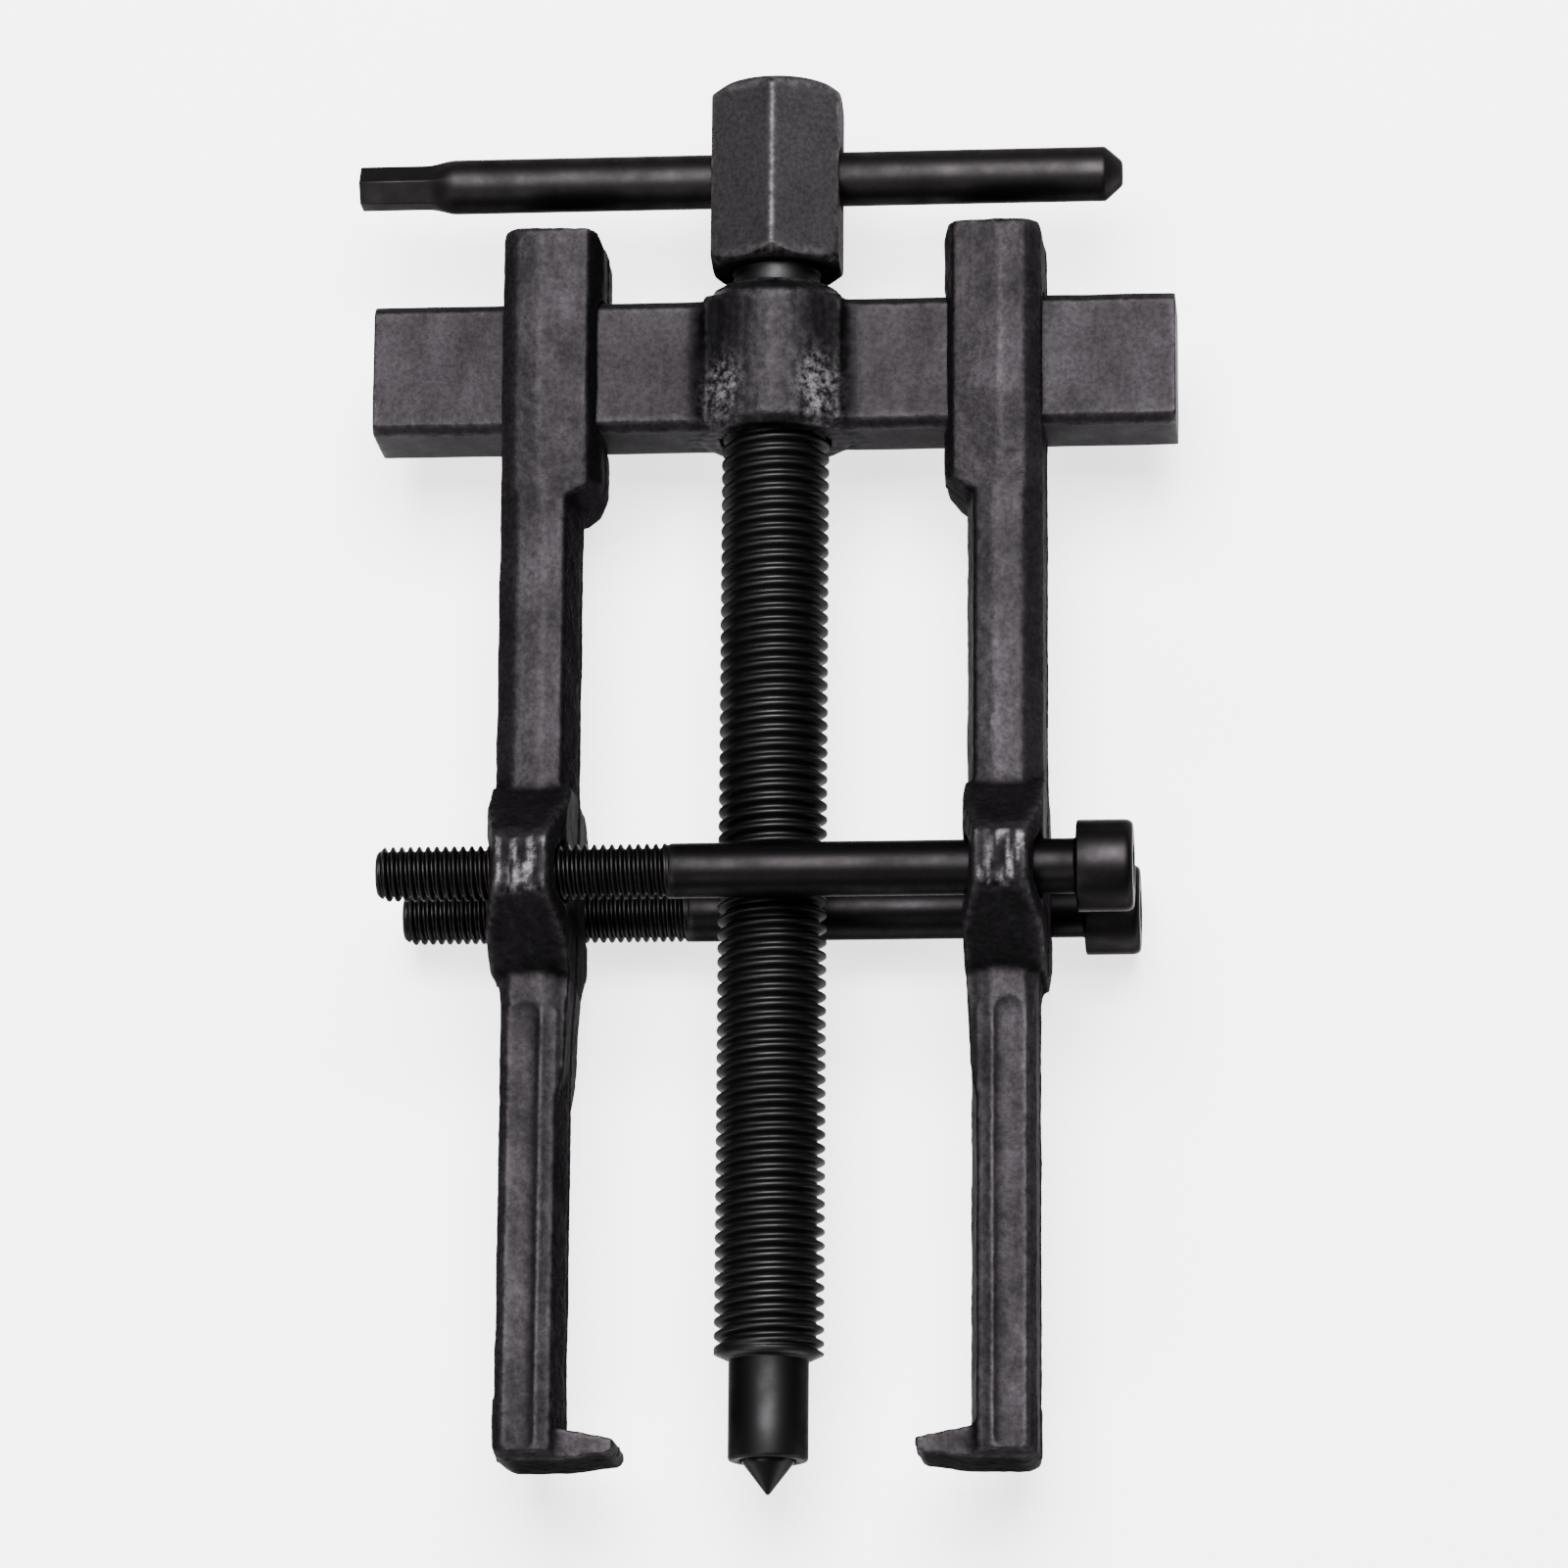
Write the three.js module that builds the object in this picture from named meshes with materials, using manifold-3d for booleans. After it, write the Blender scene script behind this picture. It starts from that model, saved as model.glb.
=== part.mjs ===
// Two-jaw puller lying on its back. X runs along the crossbeam, Y along the forcing screw towards its
// hexagon head, Z up. Shapes are laid out round the screw axis with Y = 0 at the crossbeam's middle, and the
// finished group is set down with the origin under the middle of its bounding box. Sizes are in millimetres.
import * as THREE from "three";
import { mergeVertices } from "three/addons/utils/BufferGeometryUtils.js";
import Module from "manifold-3d";

const wasm = await Module();
wasm.setup();

// ---- driving dimensions ----
const CLEARANCE = 0.3; // between touching pieces, and round every sliding or turning fit
const ROUND = 48; // sides of a large round piece
const SMALL_ROUND = 32; // sides of a small round piece
const OVERCUT = 1; // how far a cutting or trimming shape runs past what it cuts

const BEAM_LENGTH = 117;
const BEAM_HEIGHT = 19.8; // along the screw
const BEAM_DEPTH = 14; // front to back
const BEAM_EDGE = 1.2; // chamfer along the long edges

const SCREW_DIAMETER = 16;
const THREAD_LENGTH = 156.4;
const NECK_DIAMETER = 12.6;
const NOSE_DIAMETER = 11.4;
const NOSE_LENGTH = 14.3;
const THREAD_RUNOUT = 1;

const BOSS_WALL = 3.5; // metal round the tapped hole
const BOSS_RISE = 2.4; // domed top above the beam
const BOSS_SHOULDER = 3.1; // width of the dome's slope
const BOSS_REST_GAP = 3.2; // from the dome to the hexagon when the puller is closed up

const HEX_FLATS = 19;
const HEX_HEIGHT = 27.8;
const HEX_CORNER_CUT = 1.7; // axial height of the turned corner chamfers
const HEX_FACE_INSET = 0.5; // from the flats to the chamfer's inner edge
const HANDLE_HEIGHT = 14.6; // handle axis above the hexagon's underside

const HANDLE_DIAMETER = 8;
const HANDLE_LEFT = 47.6; // round part, to the left of the screw axis
const HANDLE_RIGHT = 50.7;
const HANDLE_NOSE = 2.6; // chamfered right end
const HANDLE_NOSE_DIAMETER = 3.6;
const KEY_FLATS = 5.8; // hexagon key on the left end
const KEY_TAPER = 4.4;
const KEY_LENGTH = 9.7;

const POINT_DIAMETER = 7.4; // hardened centre point in the screw's nose
const POINT_CONE = 4.5;
const POINT_SHANK = 9.4;
const BALL_DIAMETER = 4.6;
const RING_WIRE = 0.8;
const RING_DEPTH = 0.75; // how far the ring sits into the point and into the nose
const RING_GAP = 1.2; // opening in the ring
const RING_FROM_FACE = 6.4;

const SHANK_CENTRE = 33.8; // from the screw axis to the middle of each jaw's shank
const SHANK_WIDTH = 11.5;
const SHANK_DEPTH = 20.8;
const HEAD_WIDTH = 14.8;
const HEAD_SIDE_WALL = 5.6; // metal in front of and behind the beam
const HEAD_TOP_WALL = 10.7;
const HEAD_BOTTOM_WALL = 9.8;
const HEAD_CORNER = 2.6;
const HEAD_RIDGE = 6.2; // from the outer side to the crown line down the head's front
const HEAD_BLEND = 14; // length over which the head thins down to the shank's depth
const HEAD_TOP_FLAT = 6; // front to back, on top of the head
const HEAD_TOP_FALL = 1.2; // from that flat to the rounded top edges
const SHOULDER_SLOPE = 2.6; // under the head's inner side
const LOWER_WIDTH = 9.8;
const LOWER_DEPTH = 18;
const LOWER_OUTSET = 1.1; // step from the shank's outer side to the lower shank's
const NARROWING = 13; // length of the curve from the lugs to the lower shank
const NARROWING_FADE = 9; // where that curve runs out into the lower shank
const JAW_DROP = 155.4; // from the beam's middle to the root of the gripping lip
const LIP_REACH = 7.7;
const LIP_SLOPE = 1.5; // how far the lip's upper face falls towards its tip
const CLAW_HEIGHT = 4.8;
const CLAW_DEPTH = 15;
const LIP_TIP_HEIGHT = 2.4;
const PANEL_WIDTH = 4.4; // forged recess down the front of the lower shank
const PANEL_DEPTH = 0.3;
const PANEL_LENGTH = 64;
const PANEL_CORNER = 1.2;

const BOLT_DROP = 77.3; // from the beam's middle to the side bolts
const BOLT_DIAMETER = 8;
const BOLT_LENGTH = 99.3; // under the head
const BOLT_HEAD_DIAMETER = 13;
const BOLT_HEAD_HEIGHT = 8;
const BOLT_TIP_CUT = 0.8; // chamfer on the threaded end
const BOLT_HEAD_CUT = 0.7; // chamfer round the head
const BOLT_LEFT_END = 55; // threaded end, to the left of the screw axis
const BOLT_SCREW_GAP = 2; // between the side bolts and the forcing screw
const SOCKET_DEPTH = 5;
const LUG_WALL = 4; // metal outside each bolt hole
const LUG_HEIGHT = 8.2; // flat front of the lug
const LUG_EDGE = 0.8; // softened edges of that flat
const LUG_SLOPE = 9.6; // length of each slope from the lug to the shank

// ---- what follows from them ----
const screwRadius = SCREW_DIAMETER / 2;
const boreRadius = screwRadius + CLEARANCE;
const bossRadius = boreRadius + BOSS_WALL;
const bossTop = BEAM_HEIGHT / 2 + BOSS_RISE;
const bossBottom = -BEAM_HEIGHT / 2 - CLEARANCE;
const hexBottom = bossTop + BOSS_REST_GAP;
const hexTop = hexBottom + HEX_HEIGHT;
const handleY = hexBottom + HANDLE_HEIGHT;
const threadTop = bossTop - THREAD_RUNOUT;
const threadBottom = threadTop - THREAD_LENGTH;
const noseFace = threadBottom - NOSE_LENGTH;
const boltZ = screwRadius + BOLT_SCREW_GAP + BOLT_DIAMETER / 2;
const boltUnderHead = BOLT_LENGTH - BOLT_LEFT_END;
const lugHalfDepth = boltZ + BOLT_DIAMETER / 2 + LUG_WALL;
const headHalfDepth = BEAM_DEPTH / 2 + CLEARANCE + HEAD_SIDE_WALL;
const headTop = BEAM_HEIGHT / 2 + CLEARANCE + HEAD_TOP_WALL;
const headBottom = -BEAM_HEIGHT / 2 - CLEARANCE - HEAD_BOTTOM_WALL;
const shankOuter = SHANK_CENTRE + SHANK_WIDTH / 2;
const shankInner = SHANK_CENTRE - SHANK_WIDTH / 2;
const lowerOuter = shankOuter - LOWER_OUTSET;
const lowerInner = lowerOuter - LOWER_WIDTH;

// ---- geometry tools ----

// A closed three.js geometry as a solid that can be joined and cut.
function solid(geometry) {
  const plain = new THREE.BufferGeometry();
  const source = geometry.index ? geometry.toNonIndexed() : geometry;
  plain.setAttribute("position", source.getAttribute("position"));
  const merged = mergeVertices(plain, 1e-4);
  return new wasm.Manifold(
    new wasm.Mesh({
      numProp: 3,
      vertProperties: new Float32Array(merged.attributes.position.array),
      triVerts: new Uint32Array(merged.index.array),
    }),
  );
}

function outline(points) {
  return new THREE.Shape(points.map(([x, y]) => new THREE.Vector2(x, y)));
}

function extruded(points, depth) {
  return new THREE.ExtrudeGeometry(outline(points), { depth, bevelEnabled: false });
}

// A block whose (z, y) outline runs from x0 to x1.
function alongX(points, x0, x1) {
  const block = extruded(points.map(([z, y]) => [-z, y]), x1 - x0);
  return solid(block.rotateY(Math.PI / 2).translate(x0, 0, 0));
}

// A block whose (x, z) section runs from y0 to y1.
function alongY(points, y0, y1) {
  const block = extruded(points.map(([x, z]) => [x, -z]), y1 - y0);
  return solid(block.rotateX(-Math.PI / 2).translate(0, y0, 0));
}

// The same, with its depth front to back multiplied by grow at y1.
function alongYGrowing(points, y0, y1, grow) {
  const block = extruded(points.map(([x, z]) => [x, -z]), y1 - y0);
  block.rotateX(-Math.PI / 2).translate(0, y0, 0);
  const place = block.getAttribute("position");
  for (let i = 0; i < place.count; i++) {
    if (place.getY(i) > (y0 + y1) / 2) place.setZ(i, place.getZ(i) * grow);
  }
  return solid(block);
}

// A block whose (x, y) outline runs from z0 to z1.
function alongZ(points, z0, z1) {
  return solid(extruded(points, z1 - z0).translate(0, 0, z0));
}

// A piece turned about Y from a list of [radius, y], bottom first.
function turned(profile, sides) {
  const points = profile.map(([r, y]) => new THREE.Vector2(r, y));
  return new THREE.LatheGeometry(points, sides);
}

// The same profile turned about X, with x in place of y.
function turnedAlongX(profile, sides) {
  return turned(profile, sides).rotateZ(-Math.PI / 2);
}

function rodAlongX(radius, x0, x1, y, z, sides) {
  const rod = new THREE.CylinderGeometry(radius, radius, x1 - x0, sides);
  return solid(rod.rotateZ(Math.PI / 2).translate((x0 + x1) / 2, y, z));
}

// A hexagonal bar along Y, with two of its flats facing along X.
function hexBarAlongY(flats, length) {
  const cornerRadius = flats / Math.sqrt(3);
  return new THREE.CylinderGeometry(cornerRadius, cornerRadius, length, 6);
}

// A hexagonal bar along X from x0 to x1, with two of its flats facing along Y.
function hexBarAlongX(flats, x0, x1) {
  const bar = hexBarAlongY(flats, x1 - x0).rotateZ(Math.PI / 2);
  return solid(bar.translate((x0 + x1) / 2, 0, 0));
}

// A rectangle from (a0, b0) to (a1, b1) with cut corners.
function cutRectangle(a0, b0, a1, b1, cut) {
  return [
    [a0 + cut, b0],
    [a1 - cut, b0],
    [a1, b0 + cut],
    [a1, b1 - cut],
    [a1 - cut, b1],
    [a0 + cut, b1],
    [a0, b1 - cut],
    [a0, b0 + cut],
  ];
}

function mesh(name, shape, { color, roughness, metalness }) {
  const made = shape.getMesh();
  const geometry = new THREE.BufferGeometry();
  geometry.setAttribute("position", new THREE.BufferAttribute(made.vertProperties, made.numProp));
  geometry.setIndex(new THREE.BufferAttribute(made.triVerts, 1));
  const flat = geometry.toNonIndexed();
  flat.computeVertexNormals();
  const material = new THREE.MeshStandardMaterial({ color, roughness, metalness });
  const piece = new THREE.Mesh(flat, material);
  piece.name = name;
  return piece;
}

// ---- finishes ----
const FORGED = { color: 0x3a373b, roughness: 0.62, metalness: 0.6 };
const BLACK_OXIDE = { color: 0x1b1a1d, roughness: 0.38, metalness: 0.7 };
const HARDENED = { color: 0x2a2a2c, roughness: 0.3, metalness: 0.85 };

// ---- crossbeam: a square-edged bar with a round tapped boss in its middle ----
function crossbeam() {
  const halfDepth = BEAM_DEPTH / 2;
  const section = cutRectangle(-halfDepth, -BEAM_HEIGHT / 2, halfDepth, BEAM_HEIGHT / 2, BEAM_EDGE);
  const bar = alongX(section, -BEAM_LENGTH / 2, BEAM_LENGTH / 2);
  const boss = solid(
    turned(
      [
        [0, bossBottom],
        [bossRadius - BEAM_EDGE, bossBottom],
        [bossRadius, bossBottom + BEAM_EDGE],
        [bossRadius, bossTop - BOSS_RISE],
        [bossRadius - BOSS_SHOULDER, bossTop],
        [0, bossTop],
      ],
      ROUND,
    ),
  );
  const boreLength = bossTop - bossBottom + 2 * OVERCUT;
  const bore = new THREE.CylinderGeometry(boreRadius, boreRadius, boreLength, ROUND);
  return bar.add(boss).subtract(solid(bore.translate(0, (bossTop + bossBottom) / 2, 0)));
}

// ---- forcing screw: hexagon head, neck, thread (here its plain envelope) and bored nose ----
const noseBore = POINT_DIAMETER / 2 + CLEARANCE;
const ringInner = POINT_DIAMETER / 2 - RING_DEPTH;
const ringOuter = noseBore + RING_DEPTH;
const ringY = noseFace + RING_FROM_FACE;
const pointFace = noseFace - CLEARANCE; // shoulder between the cone and the shank
const pointTop = pointFace + POINT_SHANK;
const ballY = pointTop + CLEARANCE + BALL_DIAMETER / 2;
const boreTop = ballY + BALL_DIAMETER / 2 + CLEARANCE;

function forcingScrew() {
  const chamferOuter = HEX_FLATS / Math.sqrt(3) + 0.2;
  const chamferInner = HEX_FLATS / 2 - HEX_FACE_INSET;
  const hexagon = solid(hexBarAlongY(HEX_FLATS, HEX_HEIGHT).translate(0, (hexTop + hexBottom) / 2, 0));
  const chamfers = solid(
    turned(
      [
        [0, hexBottom],
        [chamferInner, hexBottom],
        [chamferOuter, hexBottom + HEX_CORNER_CUT],
        [chamferOuter, hexTop - HEX_CORNER_CUT],
        [chamferInner, hexTop],
        [0, hexTop],
      ],
      ROUND,
    ),
  );
  const noseRadius = NOSE_DIAMETER / 2;
  const threadRoot = noseRadius + THREAD_RUNOUT;
  const shaft = solid(
    turned(
      [
        [0, noseFace],
        [noseRadius, noseFace],
        [noseRadius, threadBottom],
        [threadRoot, threadBottom],
        [screwRadius, threadBottom + screwRadius - threadRoot],
        [screwRadius, threadTop - THREAD_RUNOUT],
        [NECK_DIAMETER / 2, threadTop],
        [NECK_DIAMETER / 2, hexBottom + OVERCUT],
        [0, hexBottom + OVERCUT],
      ],
      ROUND,
    ),
  );
  const handleHole = rodAlongX(
    HANDLE_DIAMETER / 2 + CLEARANCE,
    -HEX_FLATS,
    HEX_FLATS,
    handleY,
    0,
    SMALL_ROUND,
  );
  const pointBore = solid(
    turned(
      [
        [0, noseFace - OVERCUT],
        [noseBore, noseFace - OVERCUT],
        [noseBore, ringY - RING_WIRE / 2 - CLEARANCE],
        [ringOuter + CLEARANCE, ringY - RING_WIRE / 2 - CLEARANCE],
        [ringOuter + CLEARANCE, ringY + RING_WIRE / 2 + CLEARANCE],
        [noseBore, ringY + RING_WIRE / 2 + CLEARANCE],
        [noseBore, boreTop],
        [0, boreTop],
      ],
      SMALL_ROUND,
    ),
  );
  return hexagon.intersect(chamfers).add(shaft).subtract(handleHole).subtract(pointBore);
}

// ---- centre point, its thrust ball and the ring that keeps it in the nose ----
function centrePoint() {
  const radius = POINT_DIAMETER / 2;
  const groove = ringInner - CLEARANCE;
  const grooveLow = ringY - RING_WIRE / 2 - CLEARANCE;
  const grooveHigh = ringY + RING_WIRE / 2 + CLEARANCE;
  return solid(
    turned(
      [
        [0, pointFace - POINT_CONE],
        [radius, pointFace],
        [radius, grooveLow],
        [groove, grooveLow],
        [groove, grooveHigh],
        [radius, grooveHigh],
        [radius, pointTop],
        [0, pointTop],
      ],
      SMALL_ROUND,
    ),
  );
}

function thrustBall() {
  return solid(new THREE.SphereGeometry(BALL_DIAMETER / 2, 20, 12).translate(0, ballY, 0));
}

// An open wire ring: a full ring with a narrow gap cut through it.
function retainingRing() {
  const ring = solid(
    turned(
      [
        [ringInner, ringY - RING_WIRE / 2],
        [ringOuter, ringY - RING_WIRE / 2],
        [ringOuter, ringY + RING_WIRE / 2],
        [ringInner, ringY + RING_WIRE / 2],
        [ringInner, ringY - RING_WIRE / 2],
      ],
      SMALL_ROUND,
    ),
  );
  const gap = new THREE.BoxGeometry(ringOuter * 2, RING_WIRE + 2 * OVERCUT, RING_GAP);
  return ring.subtract(solid(gap.translate(ringOuter, ringY, 0)));
}

// ---- sliding handle with a hexagon key on its left end ----
function slidingHandle() {
  const radius = HANDLE_DIAMETER / 2;
  const keyRadius = KEY_FLATS / 2;
  const keyRoot = -HANDLE_LEFT - KEY_TAPER;
  const keyEnd = keyRoot - KEY_LENGTH;
  const round = solid(
    turnedAlongX(
      [
        [0, keyRoot],
        [keyRadius, keyRoot],
        [radius, -HANDLE_LEFT],
        [radius, HANDLE_RIGHT - HANDLE_NOSE],
        [HANDLE_NOSE_DIAMETER / 2, HANDLE_RIGHT],
        [0, HANDLE_RIGHT],
      ],
      SMALL_ROUND,
    ),
  );
  const key = hexBarAlongX(KEY_FLATS, keyEnd, -HANDLE_LEFT);
  return round.add(key).translate([0, handleY, 0]);
}

// ---- side bolts: socket heads on the right, threaded ends (here plain) on the left ----
function sideBolt(z) {
  const radius = BOLT_DIAMETER / 2;
  const headRadius = BOLT_HEAD_DIAMETER / 2;
  const headEnd = boltUnderHead + BOLT_HEAD_HEIGHT;
  const body = solid(
    turnedAlongX(
      [
        [0, -BOLT_LEFT_END],
        [radius - BOLT_TIP_CUT, -BOLT_LEFT_END],
        [radius, -BOLT_LEFT_END + BOLT_TIP_CUT],
        [radius, boltUnderHead],
        [headRadius, boltUnderHead],
        [headRadius, headEnd - BOLT_HEAD_CUT],
        [headRadius - BOLT_HEAD_CUT, headEnd],
        [0, headEnd],
      ],
      ROUND,
    ),
  );
  const socket = hexBarAlongX(KEY_FLATS + CLEARANCE, headEnd - SOCKET_DEPTH, headEnd + OVERCUT);
  return body.subtract(socket).translate([0, -BOLT_DROP, z]);
}

// ---- jaws: drop-forged arms with a window head, a pair of bolt lugs and an inward lip ----

// A section that is alike in front and behind, from its front half listed outer side first as [r, z].
function bothSides(half) {
  const back = half.map(([r, z]) => [r, -z]).reverse();
  return [...half, ...back];
}

function jaw(side, boltHole) {
  // Distances from the screw axis become x on the jaw's own side.
  const onSide = (points) => points.map(([r, other]) => [side * r, other]);
  const span = (r0, r1) => [Math.min(side * r0, side * r1), Math.max(side * r0, side * r1)];
  const section = (half, y0, y1) => alongY(onSide(bothSides(half)), y0, y1);
  const plate = (points, z0, z1) => alongZ(onSide(points), z0, z1);

  // Head: crowned front and back, rounded on top, thinning to the shank's depth at its bottom.
  const shankHalf = SHANK_DEPTH / 2;
  const headInner = shankOuter - HEAD_WIDTH;
  const headSection = [
    [shankOuter, 3],
    [shankOuter - 0.3, headHalfDepth - 3.4],
    [shankOuter - 2.4, headHalfDepth - 0.6],
    [shankOuter - HEAD_RIDGE, headHalfDepth],
    [headInner + 1.6, headHalfDepth - 1.4],
    [headInner, headHalfDepth - 7],
  ];
  const thinning = shankHalf / headHalfDepth;
  const thinSection = headSection.map(([r, z]) => [r, z * thinning]);
  const headUpper = section(headSection, headBottom + HEAD_BLEND, headTop);
  const headLower = alongYGrowing(
    onSide(bothSides(thinSection)),
    headBottom,
    headBottom + HEAD_BLEND,
    1 / thinning,
  );
  const headSide = alongX(
    [
      [-headHalfDepth - OVERCUT, headBottom - OVERCUT],
      [headHalfDepth + OVERCUT, headBottom - OVERCUT],
      [headHalfDepth + OVERCUT, headTop - HEAD_CORNER],
      [headHalfDepth - OVERCUT, headTop - HEAD_TOP_FALL],
      [HEAD_TOP_FLAT / 2, headTop],
      [-HEAD_TOP_FLAT / 2, headTop],
      [-headHalfDepth + OVERCUT, headTop - HEAD_TOP_FALL],
      [-headHalfDepth - OVERCUT, headTop - HEAD_CORNER],
    ],
    ...span(shankOuter + OVERCUT, headInner - OVERCUT),
  );
  const headFront = plate(
    [
      [shankOuter + OVERCUT, headBottom - OVERCUT],
      [shankInner, headBottom - OVERCUT],
      [shankInner, headBottom],
      [headInner, headBottom + SHOULDER_SLOPE],
      [headInner, headTop - HEAD_CORNER],
      [headInner + 0.8, headTop - 0.8],
      [headInner + HEAD_CORNER, headTop],
      [shankOuter - HEAD_CORNER, headTop],
      [shankOuter - 0.8, headTop - 0.8],
      [shankOuter, headTop - HEAD_CORNER],
      [shankOuter + OVERCUT, headTop - HEAD_CORNER],
    ],
    -headHalfDepth - OVERCUT,
    headHalfDepth + OVERCUT,
  );
  const head = headUpper.add(headLower).intersect(headSide).intersect(headFront);

  // Shank from inside the head down into the bolt lugs.
  const lugTop = -BOLT_DROP + LUG_HEIGHT / 2 + LUG_SLOPE;
  const lugBottom = -BOLT_DROP - LUG_HEIGHT / 2 - LUG_SLOPE;
  const shank = section(
    [
      [shankOuter, 2],
      [shankOuter - 0.2, shankHalf - 2.8],
      [shankOuter - 3, shankHalf - 0.3],
      [shankOuter - 7, shankHalf],
      [shankInner + 1.3, shankHalf - 0.8],
      [shankInner, 2],
    ],
    -BOLT_DROP,
    headBottom + SHOULDER_SLOPE,
  );

  // Lugs: a block that rises in slopes to both bolt holes.
  const lugFace = LUG_HEIGHT / 2;
  const lowerHalf = LOWER_DEPTH / 2;
  const lugOutline = [
    [-shankHalf + 1, lugTop],
    [-lugHalfDepth + 1, -BOLT_DROP + lugFace + LUG_EDGE],
    [-lugHalfDepth, -BOLT_DROP + lugFace - LUG_EDGE],
    [-lugHalfDepth, -BOLT_DROP - lugFace + LUG_EDGE],
    [-lugHalfDepth + 1, -BOLT_DROP - lugFace - LUG_EDGE],
    [-lowerHalf + 1, lugBottom],
    [lowerHalf - 1, lugBottom],
    [lugHalfDepth - 1, -BOLT_DROP - lugFace - LUG_EDGE],
    [lugHalfDepth, -BOLT_DROP - lugFace + LUG_EDGE],
    [lugHalfDepth, -BOLT_DROP + lugFace - LUG_EDGE],
    [lugHalfDepth - 1, -BOLT_DROP + lugFace + LUG_EDGE],
    [shankHalf - 1, lugTop],
  ];
  const lugSection = section(
    [
      [shankOuter + 0.1, boltZ],
      [shankOuter - 1.9, lugHalfDepth + 0.1],
      [shankInner + 1.9, lugHalfDepth + 0.1],
      [shankInner - 0.1, boltZ],
    ],
    lugBottom - OVERCUT,
    lugTop + OVERCUT,
  );
  const lugBlock = alongX(lugOutline, ...span(shankOuter + OVERCUT, shankInner - OVERCUT));
  const lugs = lugBlock.intersect(lugSection);

  // Lower shank and the taper that joins it to the lugs.
  const clawBottom = -JAW_DROP - CLAW_HEIGHT;
  const lowerSection = [
    [lowerOuter, 2],
    [lowerOuter - 0.2, lowerHalf - 2.2],
    [lowerOuter - 1.5, lowerHalf - 0.2],
    [lowerInner + 3.4, lowerHalf],
    [lowerInner + 1.1, lowerHalf - 0.7],
    [lowerInner, 2],
  ];
  const lower = section(lowerSection, clawBottom + 0.9, lugBottom + OVERCUT);
  const taper = lowerInner - shankInner;
  const narrowing = plate(
    [
      [shankOuter - 1, lugBottom + 4],
      [shankOuter - 1, lugBottom],
      [lowerOuter - 1, lugBottom - NARROWING],
      [lowerInner + 1.6, lugBottom - NARROWING - NARROWING_FADE],
      [lowerInner, lugBottom - NARROWING],
      [shankInner + 0.7 * taper, lugBottom - NARROWING / 2],
      [shankInner + 0.3 * taper, lugBottom - NARROWING / 5],
      [shankInner, lugBottom],
      [shankInner, lugBottom + 4],
    ],
    -lowerHalf + 1,
    lowerHalf - 1,
  );

  // Claw: the heel and the inward lip that hooks behind a gear.
  const lipTip = lowerInner - LIP_REACH;
  const claw = plate(
    [
      [lowerOuter, -JAW_DROP + 4],
      [lowerOuter, clawBottom + 2],
      [lowerOuter - 0.7, clawBottom + 0.6],
      [lowerOuter - 2, clawBottom],
      [lowerInner, clawBottom],
      [lipTip + 0.8, -JAW_DROP - LIP_SLOPE - LIP_TIP_HEIGHT],
      [lipTip, -JAW_DROP - LIP_SLOPE - LIP_TIP_HEIGHT + 0.8],
      [lipTip, -JAW_DROP - LIP_SLOPE],
      [lowerInner + 0.5, -JAW_DROP],
      [lowerInner + 2, -JAW_DROP + 4],
    ],
    -CLAW_DEPTH / 2,
    CLAW_DEPTH / 2,
  );

  // Window for the beam, the two bolt holes and the recesses of the lower shank.
  const windowHalf = BEAM_DEPTH / 2 + CLEARANCE;
  const windowHigh = BEAM_HEIGHT / 2 + CLEARANCE;
  const window = alongX(
    cutRectangle(-windowHalf, -windowHigh, windowHalf, windowHigh, BEAM_EDGE - CLEARANCE / 2),
    ...span(shankOuter + OVERCUT, headInner - OVERCUT),
  );
  const holeSpan = span(shankOuter + OVERCUT, shankInner - OVERCUT);
  let shape = head.add(shank).add(lugs).add(lower).add(narrowing).add(claw).subtract(window);
  const panelMiddle = lowerOuter - 1.9 - PANEL_WIDTH / 2;
  const panelTop = lugBottom - 4;
  const panelFloor = lowerHalf - 0.15 - PANEL_DEPTH;
  for (const face of [-1, 1]) {
    shape = shape.subtract(rodAlongX(boltHole, ...holeSpan, -BOLT_DROP, face * boltZ, SMALL_ROUND));
    const zs = face > 0 ? [panelFloor, lowerHalf + 1] : [-lowerHalf - 1, -panelFloor];
    const panel = plate(
      cutRectangle(
        panelMiddle - PANEL_WIDTH / 2,
        panelTop - PANEL_LENGTH,
        panelMiddle + PANEL_WIDTH / 2,
        panelTop,
        PANEL_CORNER,
      ),
      ...zs,
    );
    shape = shape.subtract(panel);
  }
  return shape;
}

// ---- assembly ----
const puller = new THREE.Group();
puller.add(mesh("crossbeam", crossbeam(), FORGED));
puller.add(mesh("left_jaw", jaw(-1, BOLT_DIAMETER / 2 + CLEARANCE), FORGED));
puller.add(mesh("right_jaw", jaw(1, BOLT_DIAMETER / 2 + 1.5 * CLEARANCE), FORGED));
puller.add(mesh("forcing_screw", forcingScrew(), BLACK_OXIDE));
puller.add(mesh("centre_point", centrePoint(), HARDENED));
puller.add(mesh("thrust_ball", thrustBall(), HARDENED));
puller.add(mesh("point_retaining_ring", retainingRing(), HARDENED));
puller.add(mesh("sliding_handle", slidingHandle(), BLACK_OXIDE));
puller.add(mesh("front_side_bolt", sideBolt(boltZ), BLACK_OXIDE));
puller.add(mesh("rear_side_bolt", sideBolt(-boltZ), BLACK_OXIDE));

// Set down with the origin under the middle of the bounding box.
const box = new THREE.Box3().setFromObject(puller);
const middle = box.getCenter(new THREE.Vector3());
puller.position.set(-middle.x, -middle.y, -box.min.z);

export default puller;
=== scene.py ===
"""Two-jaw gear puller lying on its back on a pale table."""

import math

import bmesh
import bpy
import numpy as np
from mathutils import Matrix, Vector


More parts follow.
